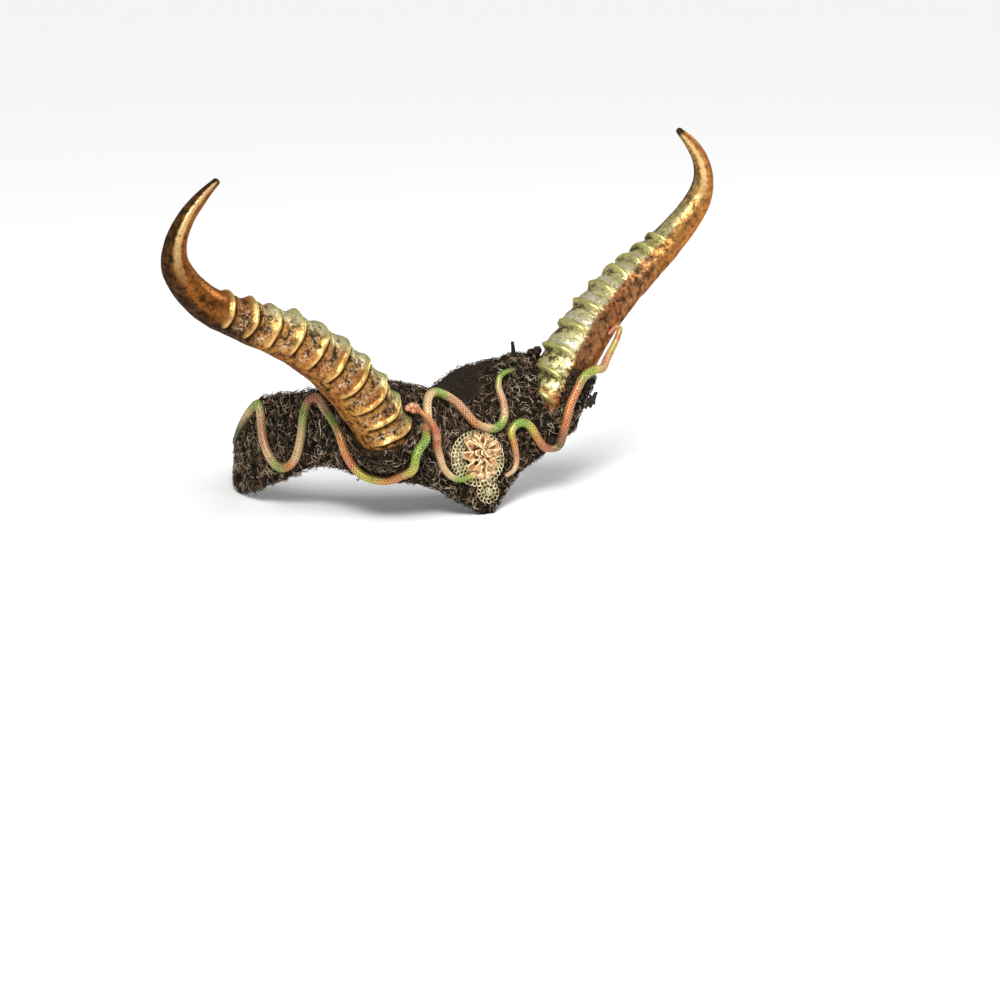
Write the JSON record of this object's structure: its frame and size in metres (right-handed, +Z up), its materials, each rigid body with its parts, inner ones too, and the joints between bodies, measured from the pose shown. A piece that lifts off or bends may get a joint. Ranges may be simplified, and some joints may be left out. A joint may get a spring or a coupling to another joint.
{
  "type": "horned headpiece",
  "caption": "Costume headpiece: a band matted with curled dark fibre, ridged gold horns sweeping out and up, snakes winding over the front, and a filigree medallion.",
  "frame": {"origin": "centre of the head opening, on the plane that the band rests on", "axes": "+X towards the wearer's left, -Y the way the wearer faces, +Z up"},
  "size_m": [0.4128, 0.2139, 0.2144],
  "materials": {
    "fibre": "dark curled fibre, dry-brushed with tan and gold",
    "horn_gold": "antiqued gold paint with dark creases",
    "snake_skin": "copper-pink with green bands and cream patches",
    "pale_gold": "pale gold, pierced",
    "rose_gold": "rose gold, worn"
  },
  "bodies": {
    "root": {"base_band": "fibre", "horn_left": "horn_gold", "horn_right": "horn_gold", "snake_right": "snake_skin", "snake_centre": "snake_skin", "snake_left": "snake_skin", "filigree_plate": "pale_gold", "rosette": "rose_gold"}
  },
  "joints": []
}
